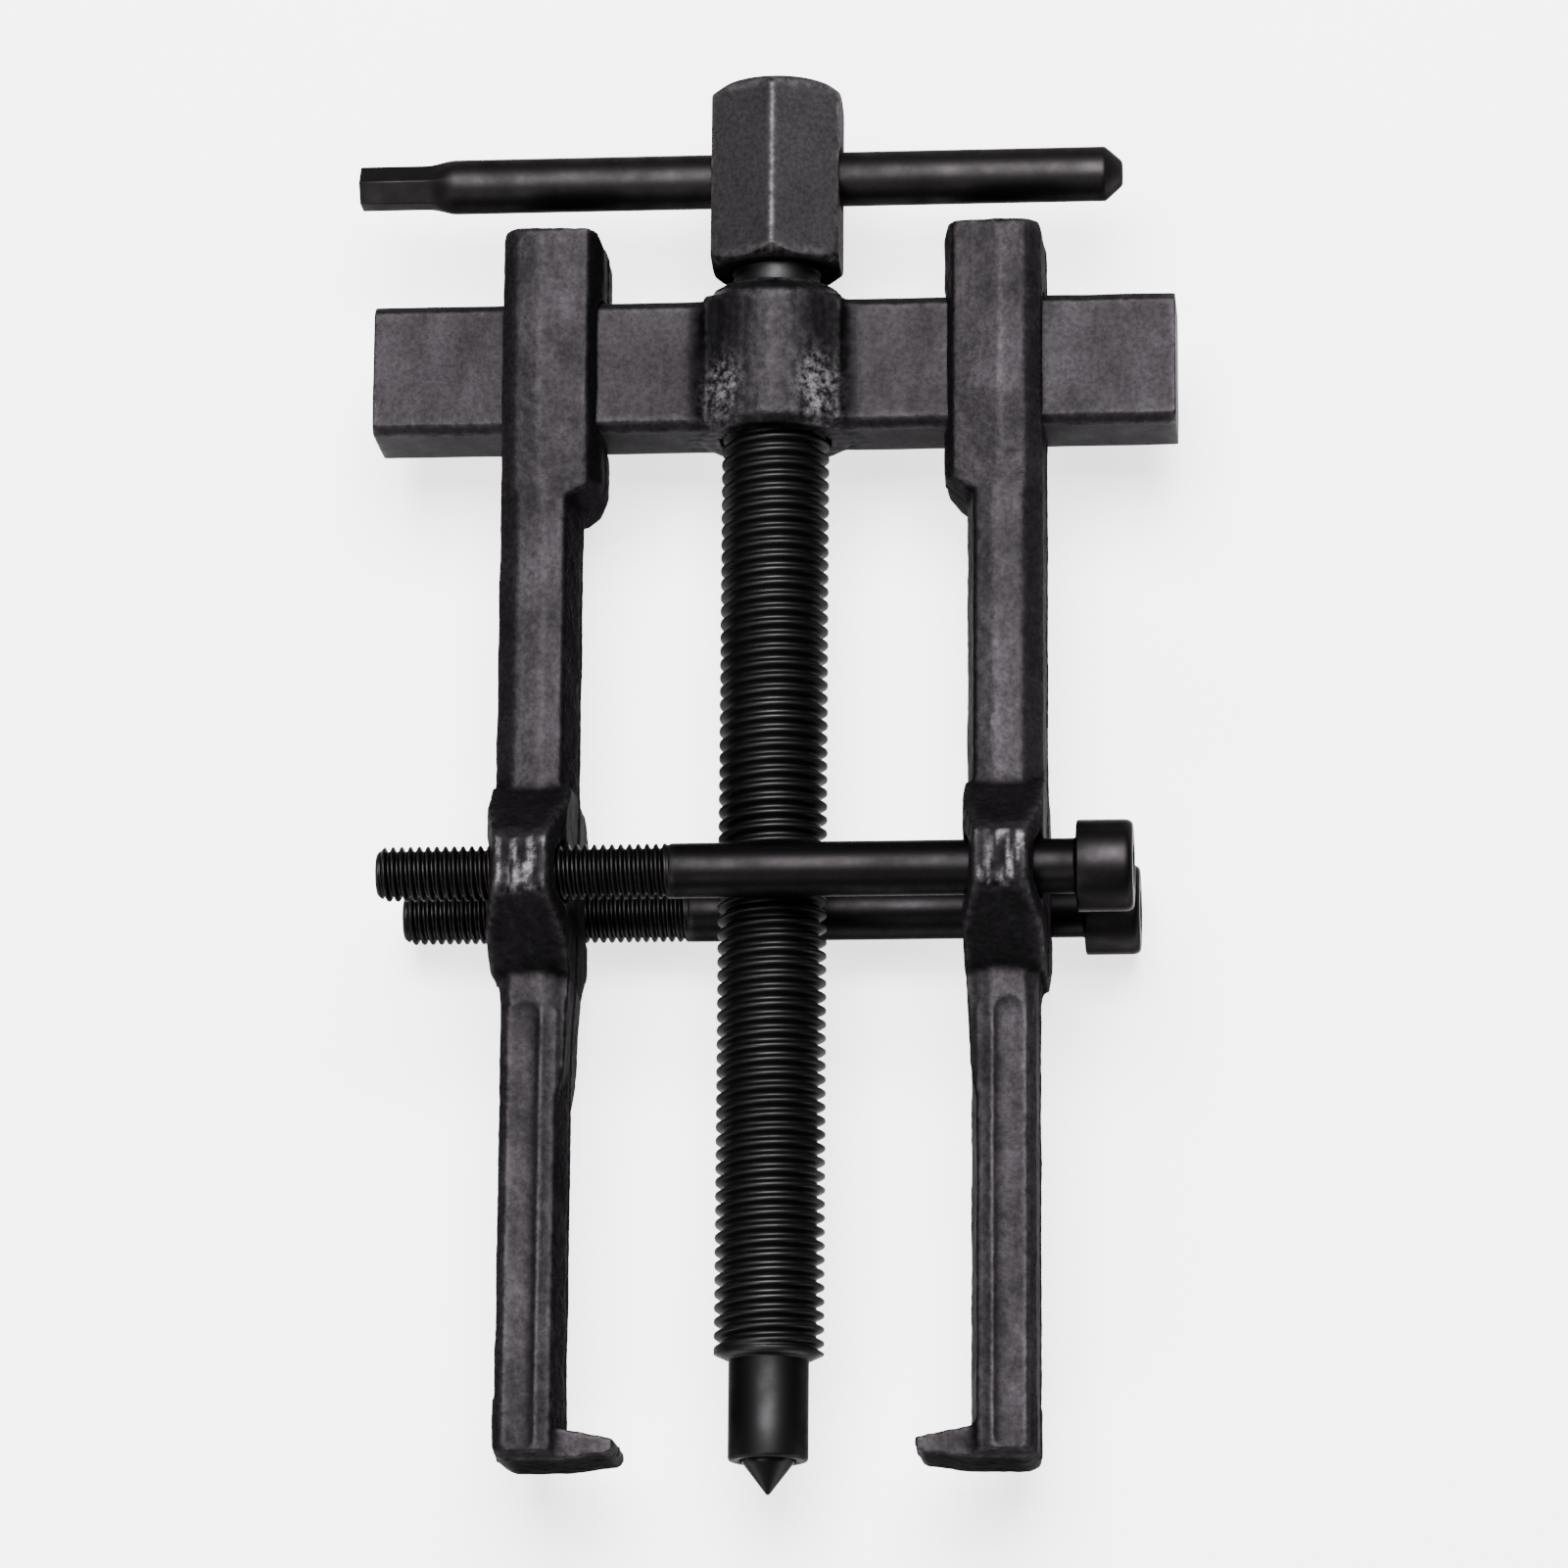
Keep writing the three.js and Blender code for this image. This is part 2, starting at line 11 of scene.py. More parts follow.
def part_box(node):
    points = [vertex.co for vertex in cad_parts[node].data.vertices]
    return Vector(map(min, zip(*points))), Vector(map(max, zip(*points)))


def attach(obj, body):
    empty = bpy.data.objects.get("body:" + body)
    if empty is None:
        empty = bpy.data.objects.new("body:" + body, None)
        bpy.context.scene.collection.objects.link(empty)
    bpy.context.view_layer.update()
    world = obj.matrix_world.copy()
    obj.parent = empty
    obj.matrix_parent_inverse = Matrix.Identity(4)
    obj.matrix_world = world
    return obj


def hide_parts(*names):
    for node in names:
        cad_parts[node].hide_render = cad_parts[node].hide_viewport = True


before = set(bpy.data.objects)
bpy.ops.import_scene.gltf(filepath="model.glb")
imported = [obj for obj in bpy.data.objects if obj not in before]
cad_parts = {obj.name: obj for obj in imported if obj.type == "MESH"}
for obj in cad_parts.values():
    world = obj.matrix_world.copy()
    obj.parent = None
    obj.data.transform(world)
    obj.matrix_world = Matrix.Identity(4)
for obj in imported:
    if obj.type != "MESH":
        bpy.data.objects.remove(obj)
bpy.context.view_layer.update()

# ---------------------------------------------------------------------------------------------
# Camera, table and lamps. The tool lies face up, and is looked at from above its claws and a little
# to its right through a long lens. The table is a plain pale sheet under two soft lamps.

MM = 0.001
screw_low, screw_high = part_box("forcing_screw")
beam_low, beam_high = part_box("crossbeam")
bolt_low, bolt_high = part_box("front_side_bolt")
AXIS_X = (screw_low.x + screw_high.x) / 2
AXIS_Z = (screw_low.z + screw_high.z) / 2

camera_tilt = math.radians(14.0)
camera_side = math.radians(5.0)
camera_roll = math.radians(0.42)
camera_distance = 1.0
aim = Vector((AXIS_X + 1.56 * MM, -0.9 * MM, AXIS_Z))
outward = Vector(
    (
        math.sin(camera_side) * math.cos(camera_tilt),
        -math.sin(camera_tilt),
        math.cos(camera_tilt) * math.cos(camera_side),
    )
).normalized()
camera_data = bpy.data.cameras.new("camera")
camera_data.sensor_width = 36.0
camera_data.lens = 159.6
camera_data.clip_end = 50.0
camera = bpy.data.objects.new("camera", camera_data)
bpy.context.scene.collection.objects.link(camera)
camera.location = aim + outward * camera_distance
right = Vector((0, 1, 0)).cross(outward).normalized()
upward = outward.cross(right)
turned_right = right * math.cos(camera_roll) + upward * math.sin(camera_roll)
turned_up = outward.cross(turned_right)
axes = [[turned_right[i], turned_up[i], outward[i]] for i in range(3)]
camera.rotation_mode = "QUATERNION"
camera.rotation_quaternion = Matrix(axes).to_quaternion()
bpy.context.scene.camera = camera


def link(name, mesh):
    """Puts a finished mesh into the scene at the origin."""
    piece = bpy.data.objects.new(name, mesh)
    bpy.context.scene.collection.objects.link(piece)
    return piece


TABLE_HALF = 3.0
table_mesh = bpy.data.meshes.new("table")
table_mesh.from_pydata(
    [(x * TABLE_HALF, y * TABLE_HALF, 0.0) for x, y in ((-1, -1), (1, -1), (1, 1), (-1, 1))],
    [],
    [(0, 1, 2, 3)],
)
table = link("table", table_mesh)
table_finish = bpy.data.materials.new("pale_table")
table_finish.use_nodes = True
table_shader = table_finish.node_tree.nodes["Principled BSDF"]
table_shader.inputs["Base Color"].default_value = (0.9, 0.9, 0.9, 1)
table_shader.inputs["Roughness"].default_value = 0.9
table_shader.inputs["Specular IOR Level"].default_value = 0.1
table_shader.inputs["Emission Color"].default_value = (1, 1, 1, 1)
table_shader.inputs["Emission Strength"].default_value = 2.2
table_mesh.materials.append(table_finish)


def softbox(name, place, size, power, target=(0, 0, 0.02)):
    """A square area lamp at place that faces target."""
    lamp_data = bpy.data.lights.new(name, "AREA")
    lamp_data.shape = "SQUARE"
    lamp_data.size = size
    lamp_data.energy = power
    lamp = bpy.data.objects.new(name, lamp_data)
    lamp.location = place
    lamp.rotation_mode = "QUATERNION"
    lamp.rotation_quaternion = (Vector(target) - Vector(place)).to_track_quat("-Z", "Y")
    bpy.context.scene.collection.objects.link(lamp)


softbox("key_light", (0.04, 0.36, 1.25), 0.8, 73)
softbox("low_light", (-0.5, -0.9, 0.9), 0.5, 10)
world = bpy.data.worlds.new("studio")
world.use_nodes = True
world.node_tree.nodes["Background"].inputs["Color"].default_value = (1, 1, 1, 1)
world.node_tree.nodes["Background"].inputs["Strength"].default_value = 0.22
bpy.context.scene.world = world

# ---------------------------------------------------------------------------------------------
# Forged finish of the crossbeam and jaws: drop-forged steel, shot-blasted and phosphated to a
# dull charcoal. Scale leaves fine pits and soft blotches, and handling pales the proud edges.
# Painted shade blackens hollows and shaded faces, and painted highlights show as grains of steel.


class Nodes:
    """A material's node tree, with short calls that add and join nodes."""

    def __init__(self, name):
        self.material = bpy.data.materials.new(name)
        self.material.use_nodes = True
        self.tree = self.material.node_tree
        self.shader = self.tree.nodes["Principled BSDF"]

    def add(self, kind, values=None, **settings):
        node = self.tree.nodes.new(kind)
        for key, value in settings.items():
            setattr(node, key, value)
        for socket, value in (values or {}).items():
            if isinstance(value, bpy.types.NodeSocket):
                self.tree.links.new(value, node.inputs[socket])
            else:
                node.inputs[socket].default_value = value
        return node

    def noise(self, scale, detail=4.0, roughness=0.55, stretch=None):
        place = self.add("ShaderNodeTexCoord").outputs["Object"]
        if stretch:
            place = self.add("ShaderNodeMapping", {"Vector": place, "Scale": stretch}).outputs[0]
        values = {"Vector": place, "Scale": scale, "Detail": detail, "Roughness": roughness}
        return self.add("ShaderNodeTexNoise", values).outputs["Fac"]

    def ramp(self, factor, *stops):
        node = self.add("ShaderNodeValToRGB", {"Fac": factor})
        elements = node.color_ramp.elements
        while len(elements) < len(stops):
            elements.new(0.5)
        for element, (place, colour) in zip(elements, stops):
            element.position = place
            element.color = colour if len(colour) == 4 else (*colour, 1)
        return node.outputs["Color"]

    def grey(self, factor, *stops):
        return self.ramp(factor, *[(place, (v, v, v)) for place, v in stops])

    def mix(self, factor, a, b, blend="MIX"):
        colours = {0: factor, 6: a, 7: b}
        return self.add("ShaderNodeMix", colours, data_type="RGBA", blend_type=blend).outputs[2]

    def math(self, operation, a, b):
        return self.add("ShaderNodeMath", {0: a, 1: b}, operation=operation).outputs[0]

    def dark_metal(self, grazing):
        """Blackened steel: a metal's mirror that pales less towards grazing angles than uncoated metal."""
        self.shader.inputs["Metallic"].default_value = 1.0
        self.shader.inputs["Specular Tint"].default_value = (grazing, grazing, grazing, 1)

    def join(self, output, socket):
        self.tree.links.new(output, self.shader.inputs[socket])

    def bump(self, height, strength, distance, under=None):
        values = {"Height": height, "Strength": strength, "Distance": distance}
        if under is not None:
            values["Normal"] = under
        return self.add("ShaderNodeBump", values).outputs["Normal"]


# Colour of the painted highlights, drawn as bright steel.
PAINTED_HIGHLIGHT_STEEL = (0.3, 0.285, 0.3, 1)
# Black that paints shade, and the darker tone on the screw's nose and the bolts.
SHADE_AND_TONE_BLACK = (0.001, 0.001, 0.001, 1)
WORN_EDGE = (0.05, 0.047, 0.05)


def forged_finish(name, base, worn, mottle, rough_low=0.42, rough_high=0.58, grazing=0.3):
    """Charcoal scale with pits and blotches that stray by the mottle. It is paler where the wear
    attribute is high, painted black as shade where the stored shade is high, and painted with
    highlights as grains of bright steel where the stored highlight is high."""
    n = Nodes(name)
    blotch = n.noise(110, 5, 0.62)
    streak = n.noise(260, 3, 0.6, (1.0, 0.25, 1.0))
    grain = n.noise(1500, 3, 0.7)
    pits = n.noise(3200, 2, 0.5)
    dark, pale = [[c * (1 + side * mottle) for c in base] for side in (-1, 1)]
    tone = n.ramp(blotch, (0.3, dark), (0.7, pale))
    tone = n.mix(0.8, tone, n.grey(grain, (0.35, 0.65), (0.65, 1.3)), "MULTIPLY")
    # Painted shade: the colour turns black where the stored shade is high.
    shade_and_tone = n.add("ShaderNodeAttribute", attribute_name="shade_and_tone").outputs["Fac"]
    tone = n.mix(n.math("MULTIPLY", shade_and_tone, 0.85), tone, SHADE_AND_TONE_BLACK)
    wear = n.add("ShaderNodeAttribute", attribute_name="wear").outputs["Fac"]
    rubbed = n.math("MULTIPLY", wear, n.grey(n.noise(700, 4, 0.7), (0.4, 0.0), (0.62, 1.0)))
    tone = n.mix(rubbed, tone, (*worn, 1))
    # Painted highlights: grains of bright steel where the stored highlight is high.
    painted_highlight = n.add("ShaderNodeAttribute", attribute_name="painted_highlight").outputs["Fac"]
    grains = n.grey(n.noise(900, 5, 0.75), (0.42, 0.0), (0.68, 1.0))
    highlight_grains = n.math("MULTIPLY", painted_highlight, grains)
    n.join(n.mix(highlight_grains, tone, PAINTED_HIGHLIGHT_STEEL), "Base Color")
    rough = n.math("ADD", n.grey(blotch, (0.3, rough_high - 0.5), (0.7, rough_low - 0.5)), 0.5)
    rough = n.math("ADD", rough, n.math("MULTIPLY", highlight_grains, 0.15))
    rough = n.math("ADD", rough, n.grey(streak, (0.35, 0.0), (0.65, 0.06)))
    rough = n.math("ADD", rough, n.math("MULTIPLY", shade_and_tone, 0.3))
    n.join(rough, "Roughness")
    n.dark_metal(grazing)
    relief = n.bump(grain, 0.35, 0.00012)
    n.join(n.bump(pits, 0.25, 0.00006, relief), "Normal")
    return n.material


forged = forged_finish("phosphated_forging", (0.0155, 0.0139, 0.0155), WORN_EDGE, 0.26)
dressed = forged_finish(
    "dressed_forging", (0.0128, 0.0115, 0.0128), WORN_EDGE, 0.16, 0.46, 0.54, 0.5
)

# ---------------------------------------------------------------------------------------------
# Crossbeam: one forging, a flat bar with a round tapped boss in its middle. The bar's faces are
# dressed flat. The boss is left as forged, with fillets at its feet that get painted shade, and two
# painted highlights low on its sides.


def forged_copy(node, voxel, smoothing):
    """A CAD node's copy as one even skin of small quads, its sharp edges rounded by smoothing passes."""
    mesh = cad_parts[node].data.copy()
    made = bmesh.new()
    made.from_mesh(mesh)
    bmesh.ops.remove_doubles(made, verts=made.verts, dist=1e-6)
    made.to_mesh(mesh)
    made.free()
    mesh.materials.clear()
    piece = link("forged_" + node, mesh)
    remesh = piece.modifiers.new("skin", "REMESH")
    remesh.mode = "VOXEL"
    remesh.voxel_size = voxel
    remesh.adaptivity = 0.0
    smooth = piece.modifiers.new("round", "SMOOTH")
    smooth.iterations = smoothing
    smooth.factor = 0.5
    graph = bpy.context.evaluated_depsgraph_get()
    skin = bpy.data.meshes.new_from_object(piece.evaluated_get(graph))
    piece.modifiers.clear()
    piece.data = skin
    bpy.data.meshes.remove(mesh)
    skin.shade_smooth()
    return piece


def read_mesh(mesh):
    """Vertex places and normals as arrays of rows."""
    count = len(mesh.vertices)
    places, normals = np.empty(count * 3, np.float32), np.empty(count * 3, np.float32)
    mesh.vertices.foreach_get("co", places)
    mesh.vertex_normals.foreach_get("vector", normals)
    return places.reshape(-1, 3), normals.reshape(-1, 3)


def waves(places, length, seed):
    """Smooth noise: the sum of twelve sine waves of random direction, near the given wave length."""
    draw = np.random.default_rng(seed)
    directions = draw.normal(size=(12, 3))
    directions /= np.linalg.norm(directions, axis=1, keepdims=True)
    lengths = length * draw.uniform(0.6, 1.6, 12)
    phases = draw.uniform(0, 2 * np.pi, 12)
    turns = places @ (directions / lengths[:, None]).T * 2 * np.pi
    return np.sin(turns + phases).sum(1) / math.sqrt(12 / 2) / 2


def store(mesh, name, values):
    """Keeps one value from 0 to 1 for each vertex."""
    attribute = mesh.attributes.new(name, "FLOAT", "POINT")
    attribute.data.foreach_set("value", np.clip(values, 0, 1).astype(np.float32))


MEAN_PASSES = 4
SOFTENING_PASSES = 2


def mark(piece, reach, marks):
    """Stores how proud each vertex stands, its height over the blurred mean of its neighbours divided by
    reach, as wear, and how far it sinks as painted shade. marks(places, normals) gives the painted
    highlights and further painted shade."""
    mesh = piece.data
    places, normals = read_mesh(mesh)
    count = len(places)
    pairs = np.empty(len(mesh.edges) * 2, np.int64)
    mesh.edges.foreach_get("vertices", pairs)
    a, b = pairs.reshape(-1, 2).T
    near = np.bincount(a, minlength=count) + np.bincount(b, minlength=count)

    def spread(values):
        return (
            np.bincount(a, values[b], count) + np.bincount(b, values[a], count)
        ) / np.maximum(near, 1)

    mean = places.astype(float)
    for _ in range(MEAN_PASSES):
        mean = np.stack([spread(mean[:, i]) for i in range(3)], axis=1)
    proud = ((places - mean) * normals).sum(1)
    for _ in range(SOFTENING_PASSES):
        proud = 0.5 * proud + 0.5 * spread(proud)
    painted_highlight, shade = marks(places, normals)
    store(mesh, "wear", proud / reach)
    # Painted shade: sunken places and the shade from marks darken the colour.
    store(mesh, "shade_and_tone", shade - proud / reach)
    # Painted highlights from marks.
    store(mesh, "painted_highlight", painted_highlight)


def press(piece, relief):
    """Moves each vertex along its normal by relief(places, normals), in metres."""
    mesh = piece.data
    places, normals = read_mesh(mesh)
    moved = places + normals * relief(places, normals)[:, None]
    mesh.vertices.foreach_set("co", moved.astype(np.float32).ravel())
    mesh.update()


BOSS_RADIUS = (beam_high.z - beam_low.z) / 2
BEAM_FACE = 7.0 * MM
BEAM_Y = 60.45 * MM
FOOT_ACROSS = math.sqrt(BOSS_RADIUS**2 - BEAM_FACE**2)
FILLET_REACH = 3.0 * MM
FILLET_RISE = 0.75 * MM
BEAM_VOXEL = 0.42 * MM
BEAM_INSET = 0.06 * MM
BORE_REACH = 9.4 * MM
BORE_CLOSING = 0.3 * MM
SCALE_EDGE = 14.0 * MM
SCALE_FADE = 1.5 * MM
HIGHLIGHT_ACROSS = 7 * MM
HIGHLIGHT_DROP = 5 * MM
HIGHLIGHT_WIDTH = 2.1 * MM
HIGHLIGHT_HEIGHT = 4.6 * MM
FILLET_SHADE = 2.3 * MM
SHADE_START = 9.1 * MM
SHADE_FADE = 0.8 * MM
BETWEEN_INNER = 12 * MM
BETWEEN_OUTER = 27 * MM
BETWEEN_FADE = 4 * MM


def from_foot(places):
    """Distance, across the bar, from the line where the boss meets the bar's front or back face."""
    across = np.abs(places[:, 0] - AXIS_X)
    deep = np.abs(places[:, 2] - AXIS_Z)
    return np.hypot(across - FOOT_ACROSS, deep - BEAM_FACE)


def in_bore(places, normals):
    """True on the wall of the tapped hole."""
    radius = np.hypot(places[:, 0] - AXIS_X, places[:, 2] - AXIS_Z)
    return (radius < BORE_REACH) & (np.abs(normals[:, 1]) < 0.85)


def beam_relief(places, normals):
    """Dressed faces stay near flat. The round boss keeps coarse forging scale, its feet swell into the bar
    as fillets that fade with the square of the distance, and its tapped hole closes in on the screw."""
    radius = np.hypot(places[:, 0] - AXIS_X, places[:, 2] - AXIS_Z)
    on_boss = np.clip((SCALE_EDGE - radius) / SCALE_FADE, 0, 1)
    flat = waves(places, 9 * MM, 11) * 0.03 * MM
    scale = waves(places, 2.2 * MM, 12) * 0.05 * MM + waves(places, 1.1 * MM, 13) * 0.03 * MM
    upright = np.clip((0.75 - np.abs(normals[:, 1])) / 0.3, 0, 1)
    fillet = np.clip(1 - from_foot(places) / FILLET_REACH, 0, 1) ** 2 * upright * FILLET_RISE
    return flat + on_boss * scale + fillet + in_bore(places, normals) * BORE_CLOSING - BEAM_INSET


def beam_marks(places, normals):
    """Two painted highlights, drawn as bright steel, sit low on the boss to its left and right. Painted
    shade keeps the fillets and the tapped hole black and makes the bar between the jaws a little darker
    than its ends."""
    across = np.abs(places[:, 0] - AXIS_X)
    along = places[:, 1] - BEAM_Y
    # Painted highlights low on the boss, left and right.
    highlight_patch = np.exp(-(((across - HIGHLIGHT_ACROSS) / HIGHLIGHT_WIDTH) ** 2))
    highlight_patch = highlight_patch * np.exp(-(((along + HIGHLIGHT_DROP) / HIGHLIGHT_HEIGHT) ** 2))
    ragged = 1 + 0.35 * waves(places, 2.5 * MM, 14)
    upright = np.abs(normals[:, 1]) < 0.8
    # Painted shade in the fillets, in the tapped hole and on the bar between the jaws.
    fillet = np.clip(1.25 - from_foot(places) / FILLET_SHADE, 0, 1) * ragged * upright
    outside = np.clip((across - SHADE_START) / SHADE_FADE, 0, 1)
    between = np.clip((BETWEEN_OUTER - across) / BETWEEN_FADE, 0, 1) * (across > BETWEEN_INNER) * 0.08
    shade = fillet * outside + in_bore(places, normals) + between
    return highlight_patch * (np.abs(normals[:, 2]) > 0.3) * ragged, shade


beam = forged_copy("crossbeam", BEAM_VOXEL, 2)
press(beam, beam_relief)
mark(beam, 0.2 * MM, beam_marks)
beam.name = "forged_crossbeam"
beam.data.materials.append(dressed)
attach(beam, "beam")
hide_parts("crossbeam")

# ---------------------------------------------------------------------------------------------
# Jaws: drop forgings that split along their middle, so a thin flash line runs round their sides.
# The window head slides on the beam, the lugs take the bolts, and the lip hooks behind the work.

JAW_VOXEL = 0.46 * MM
FLASH_HALF = 0.7 * MM
FLASH_HEIGHT = 0.2 * MM
RIDGES = (32.2 * MM, 29.9 * MM)
RIDGE_HALF = 0.45 * MM
RIDGE_HEIGHT = 0.13 * MM
PANEL_HIGH = bolt_low.y - 12 * MM
PANEL_LOW = bolt_low.y - 74 * MM
JAW_INSET = 0.12 * MM
BOLT_Y = (bolt_low.y + bolt_high.y) / 2
STREAK_STRETCH = (1.0, 0.16, 1.0)
LUG_FRONT_DROP = 1 * MM
LUG_FRONT_HALF = 4.6 * MM
LUG_SLOPE_TOP = 4 * MM
LUG_SLOPE_END = 14 * MM


def jaw_relief(places, normals, sign):
    """Forging scale all over, a flash line where the sides cross the middle plane, and two fine ridges
    beside the recess down the lower shank."""
    off_middle = np.abs(places[:, 2] - AXIS_Z)
    on_side = np.abs(normals[:, 0]) > 0.8
    flash = np.clip(1 - (off_middle / FLASH_HALF) ** 2, 0, 1) * on_side * FLASH_HEIGHT
    outward = (places[:, 0] - AXIS_X) * sign
    low_shank = (places[:, 1] < PANEL_HIGH) & (places[:, 1] > PANEL_LOW) & (np.abs(normals[:, 2]) > 0.5)
    ridges = sum(np.exp(-(((outward - at) / RIDGE_HALF) ** 2)) for at in RIDGES) * low_shank * RIDGE_HEIGHT
    scale = waves(places, 9 * MM, 21) * 0.06 * MM
    scale = scale + waves(places, 2.4 * MM, 22) * 0.03 * MM
    scale = scale + waves(places, 1.2 * MM, 23) * 0.03 * MM
    return scale + flash + ridges - JAW_INSET


def jaw_marks(places, normals):
    """Painted highlights, drawn as bright streaks, run up and down the lugs' fronts, with painted shade
    between them. Painted shade keeps the slopes under the lugs black, and so the faces that turn up
    or down at the jaw's upper and lower ends."""
    along = places[:, 1] - BOLT_Y
    narrow = places * np.array(STREAK_STRETCH, np.float32)
    # Painted highlights as streaks on the lug fronts.
    highlight_streaks = np.clip(waves(narrow, 1.3 * MM, 24) * 1.5 + 0.15, 0, 1)
    facing = np.abs(normals[:, 2])
    front = np.clip((facing - 0.75) / 0.15, 0, 1) * (np.abs(along + LUG_FRONT_DROP) < LUG_FRONT_HALF)
    # Painted shade on the lug slopes, on faces turning up or down, and between the streaks.
    on_slope = (along < -LUG_SLOPE_TOP) & (along > -LUG_SLOPE_END)
    slope = np.clip((0.97 - facing) / 0.1, 0, 1) * on_slope
    ends = np.clip(-normals[:, 1] - 0.86, 0, 0.14) * 5 + np.clip(normals[:, 1] - 0.3, 0, 0.5)
    return highlight_streaks * front * 0.45, slope * 0.5 + ends + front * (1 - highlight_streaks) * 0.6


for side, arm, sign in (("left", "left_arm", -1), ("right", "right_arm", 1)):
    jaw = forged_copy(side + "_jaw", JAW_VOXEL, 4)
    press(jaw, lambda places, normals: jaw_relief(places, normals, sign))
    mark(jaw, 0.28 * MM, jaw_marks)
    jaw.name = "forged_" + side + "_jaw"
    jaw.data.materials.append(forged)
    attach(jaw, arm)
    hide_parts(side + "_jaw")

# ---------------------------------------------------------------------------------------------
# Forcing screw: rolled M16 thread on a bar with an upset hexagon head, a turned neck and a plain
# ground nose. It is hardened and tempered, then blackened and oiled.


def grid_mesh(name, rows, climb=None):
    """A tube of quads from rows of points (row, column, xyz), whose first and last row shrink to one point.
    Past the last column each row joins the first column of the row that lies climb rows further on, which
    lets the rows of a thread follow its helix."""
    count, columns = rows.shape[:2]
    wrap = np.arange(count) if climb is None else climb
    row = np.arange(count)[:, None]
    column = np.arange(columns)[None, :]
    here = row * columns + column
    across = np.where(column < columns - 1, here + 1, wrap[:, None] * columns)
    corners = [here[:-1], across[:-1], across[1:], here[1:]]
    faces = np.stack(corners, axis=-1).reshape(-1, 4)
    mesh = bpy.data.meshes.new(name)
    mesh.vertices.add(count * columns)
    mesh.vertices.foreach_set("co", rows.astype(np.float32).ravel())
    mesh.loops.add(faces.size)
    mesh.loops.foreach_set("vertex_index", faces.astype(np.int32).ravel())
    mesh.polygons.add(len(faces))
    mesh.polygons.foreach_set("loop_start", np.arange(0, faces.size, 4, dtype=np.int32))
    mesh.update(calc_edges=True)
    mesh.validate()
    made = bmesh.new()
    made.from_mesh(mesh)
    bmesh.ops.remove_doubles(made, verts=made.verts, dist=2e-6)
    bmesh.ops.recalc_face_normals(made, faces=made.faces)
    made.to_mesh(mesh)
    made.free()
    mesh.shade_smooth()
    return mesh


def rounded_hexagon(angle, flats, power=44, turn=0.0):
    """Radius of a hexagon with rounded corners at each angle: the p-norm of its three pairs of flats."""
    total = 0.0
    for k in range(3):
        total = total + np.abs(np.cos(angle - turn - k * np.pi / 3)) ** power
    return flats / 2 / total ** (1 / power)


THREAD_PHASES = (0.0, 0.1, 0.2, 0.3, 0.4, 0.5, 0.6, 0.7, 0.8, 0.9)


def thread_rows(low, high, pitch, crest, depth, columns, fade_low, fade_high):
    """(along, radius) of a helical thread. Each row starts at a fixed part of the pitch and climbs one
    pitch per turn; rows are held between low and high. The radius is the crest less the depth times a
    rounded trough that is flat at the crest, and the depth fades to nothing over fade_low and
    fade_high."""
    turn = np.arange(columns) / columns
    turns = int((high - low) / pitch) + 5
    steps = (np.arange(turns)[:, None] + np.array(THREAD_PHASES)[None, :]).ravel() - 2
    along = np.clip(low + (steps[:, None] + turn[None, :]) * pitch, low, high)
    phase = ((along - low) / pitch - turn[None, :]) % 1.0
    away = np.abs(phase - 0.5) * 2
    trough = np.clip((away - 0.15) / 0.7, 0, 1)
    trough = trough - 0.08 * np.sin(2 * np.pi * trough)
    fade = np.clip((along - low) / fade_low, 0, 1) * np.clip((high - along) / fade_high, 0, 1)
    return along, crest - depth * trough * fade


def climbing(before, thread, after):
    """For each row of a tube made of before plain rows, thread rows and after plain rows: the row that its
    last column joins."""
    last = before + thread - 1
    rows = np.arange(before + thread + after)
    in_thread = (rows >= before) & (rows <= last)
    return np.where(in_thread, np.minimum(rows + len(THREAD_PHASES), last), rows)


def ring_rows(profile, columns):
    """(along, radius) rows for a plain turned profile, a list of (along, radius)."""
    profile = np.array(profile, float)
    along = np.repeat(profile[:, :1], columns, axis=1)
    radius = np.repeat(profile[:, 1:2], columns, axis=1)
    return along, radius


def stack(*blocks):
    """Joins blocks of (along, radius) rows, end to end."""
    return tuple(np.concatenate([block[i] for block in blocks]) for i in range(2))


def turned_along_y(along, radius, turn):
    """Points (row, column, xyz) at each radius round the screw's axis."""
    return np.stack([AXIS_X + radius * np.sin(turn), along, AXIS_Z + radius * np.cos(turn)], axis=-1)


def turned_along_x(along, radius, turn, y, z):
    """Points (row, column, xyz) at each radius round the line along X through y and z."""
    return np.stack([along, y + radius * np.cos(turn), z + radius * np.sin(turn)], axis=-1)


SCREW_COLUMNS = 72
PITCH = 2.0 * MM
CREST = 7.85 * MM
DEPTH = 1.15 * MM
HEX_HEIGHT = 27.8 * MM
NOSE_LENGTH = 14.3 * MM
NECK_LENGTH = 5.2 * MM
hex_top = screw_high.y
hex_bottom = hex_top - HEX_HEIGHT
nose_face = screw_low.y
thread_low = nose_face + NOSE_LENGTH
thread_high = hex_bottom - NECK_LENGTH
NECK = 6.3 * MM
NOSE = 5.7 * MM
POINT_BORE = 4.0 * MM

